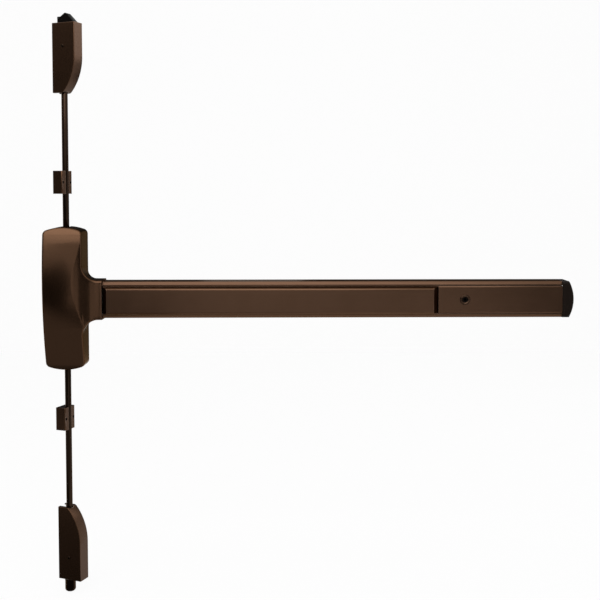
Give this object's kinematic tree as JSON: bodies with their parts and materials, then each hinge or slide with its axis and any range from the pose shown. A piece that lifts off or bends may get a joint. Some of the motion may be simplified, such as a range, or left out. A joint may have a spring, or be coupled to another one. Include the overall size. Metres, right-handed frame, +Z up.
{
  "type": "vertical rod exit device",
  "caption": "Surface vertical rod exit device: a push pad in a crash bar drives levers in a centre case that pull a top rod and a bottom rod to release their latches.",
  "frame": {"origin": "the door's face behind the centre case, where the rods' centre line and the bar's centre line cross as seen from the front", "axes": "+X along the bar towards its end cap, -Y out from the door towards the user, +Z up"},
  "size_m": [0.8046, 0.0622, 0.8895],
  "materials": {
    "dark_bronze": "satin dark bronze",
    "black_bolt": "satin black",
    "steel": "zinc plated",
    "spring_steel": "oiled spring wire"
  },
  "bodies": {
    "case": {"case_chassis": "steel", "case_cover": "dark_bronze", "case_cover_screws": "dark_bronze", "bar_joint_screws": "steel", "lever_pivot_pins": "steel", "actuator_guide_studs": "steel", "bar_housing": "dark_bronze", "bar_cover": "dark_bronze", "dogging_bushing": "dark_bronze", "end_cap": "dark_bronze", "end_bracket": "steel", "end_cap_screws": "dark_bronze", "crank_bracket_left": "steel", "crank_bracket_right": "steel", "crank_pivot_pins": "steel", "pad_spring_posts": "steel"},
    "pad": {"push_pad": "dark_bronze", "pad_end_left": "dark_bronze", "pad_end_right": "dark_bronze", "pad_brackets": "steel", "pad_springs": "spring_steel"},
    "left_crank": {"bell_crank_left": "steel"},
    "right_crank": {"bell_crank_right": "steel"},
    "drive": {"drive_link": "steel", "actuator_slide": "steel", "link_joint_pin": "steel"},
    "upper_lever": {"upper_lift_lever": "steel"},
    "lower_lever": {"lower_lift_lever": "steel"},
    "upper_rod": {"top_rod": "dark_bronze", "upper_rod_connector": "steel"},
    "lower_rod": {"bottom_rod": "dark_bronze", "lower_rod_connector": "steel", "bottom_bolt": "black_bolt", "bottom_bolt_pin": "steel"},
    "upper_guide": {"upper_rod_guide": "dark_bronze"},
    "lower_guide": {"lower_rod_guide": "dark_bronze"},
    "top_latch": {"top_latch_cover": "dark_bronze", "top_latch_frame": "steel", "top_latch_screws": "dark_bronze", "top_latch_spring": "spring_steel"},
    "top_bolt": {"top_latchbolt": "black_bolt"},
    "bottom_latch": {"bottom_latch_cover": "dark_bronze", "bottom_latch_frame": "steel", "bottom_bolt_block": "steel", "bottom_latch_screws": "dark_bronze", "bottom_latch_spring": "spring_steel"},
    "dogging": {"dogging_shaft": "steel"}
  },
  "joints": [
    {"name": "pad_push", "type": "slide", "parent": "case", "child": "pad", "axis": [0, 1, 0], "range_m": [0, 0.0127], "stiffness_N_per_m": 600, "springref_m": -0.02, "deforming": ["pad_springs"]},
    {"name": "left_crank_turn", "type": "hinge", "parent": "case", "child": "left_crank", "pos_m": [0.15, -0.0276, 0], "axis": [0, 0, 1], "range_deg": [-40, 0]},
    {"name": "right_crank_turn", "type": "hinge", "parent": "case", "child": "right_crank", "pos_m": [0.48, -0.0276, 0], "axis": [0, 0, 1], "range_deg": [-40, 0]},
    {"name": "drive_slide", "type": "slide", "parent": "case", "child": "drive", "axis": [1, 0, 0], "range_m": [0, 0.0127]},
    {"name": "upper_lever_turn", "type": "hinge", "parent": "case", "child": "upper_lever", "pos_m": [0.01762, -0.021, 0.036], "axis": [0, 1, 0], "range_deg": [-44, 0]},
    {"name": "lower_lever_turn", "type": "hinge", "parent": "case", "child": "lower_lever", "pos_m": [0.02122, -0.021, -0.036], "axis": [0, 1, 0], "range_deg": [0, 44]},
    {"name": "upper_rod_slide", "type": "slide", "parent": "case", "child": "upper_rod", "axis": [0, 0, -1], "range_m": [0, 0.0137]},
    {"name": "lower_rod_slide", "type": "slide", "parent": "case", "child": "lower_rod", "axis": [0, 0, 1], "range_m": [0, 0.0165], "deforming": ["bottom_latch_spring"]},
    {"name": "upper_guide_turn", "type": "hinge", "parent": "case", "child": "upper_guide", "pos_m": [0, -0.0135, 0.178], "axis": [0, 0, 1], "range_deg": [-67, 0]},
    {"name": "lower_guide_turn", "type": "hinge", "parent": "case", "child": "lower_guide", "pos_m": [0, -0.0135, -0.185], "axis": [0, 0, 1], "range_deg": [-67, 0]},
    {"name": "top_latch_turn", "type": "hinge", "parent": "case", "child": "top_latch", "pos_m": [0, -0.0135, 0.313], "axis": [0, 0, 1], "range_deg": [-67, 0]},
    {"name": "top_bolt_slide", "type": "slide", "parent": "top_latch", "child": "top_bolt", "axis": [0, 0, -1], "range_m": [0, 0.0137], "deforming": ["top_latch_spring"]},
    {"name": "bottom_latch_turn", "type": "hinge", "parent": "case", "child": "bottom_latch", "pos_m": [0, -0.0135, -0.323], "axis": [0, 0, 1], "range_deg": [-67, 0]},
    {"name": "dogging_turn", "type": "hinge", "parent": "case", "child": "dogging", "pos_m": [0.608, -0.0405, 0], "axis": [0, 1, 0], "range_deg": [0, 90]}
  ],
  "couplings": [
    {"joint": "left_crank_turn", "follows": "pad_push", "rad_per_m": -54.971},
    {"joint": "right_crank_turn", "follows": "pad_push", "rad_per_m": -54.971},
    {"joint": "drive_slide", "follows": "pad_push", "ratio": 1},
    {"joint": "upper_lever_turn", "follows": "pad_push", "rad_per_m": -60.468},
    {"joint": "lower_lever_turn", "follows": "pad_push", "rad_per_m": 60.468},
    {"joint": "upper_rod_slide", "follows": "pad_push", "ratio": 1.0787},
    {"joint": "lower_rod_slide", "follows": "pad_push", "ratio": 1.2992},
    {"joint": "top_bolt_slide", "follows": "pad_push", "ratio": 1.0787}
  ]
}
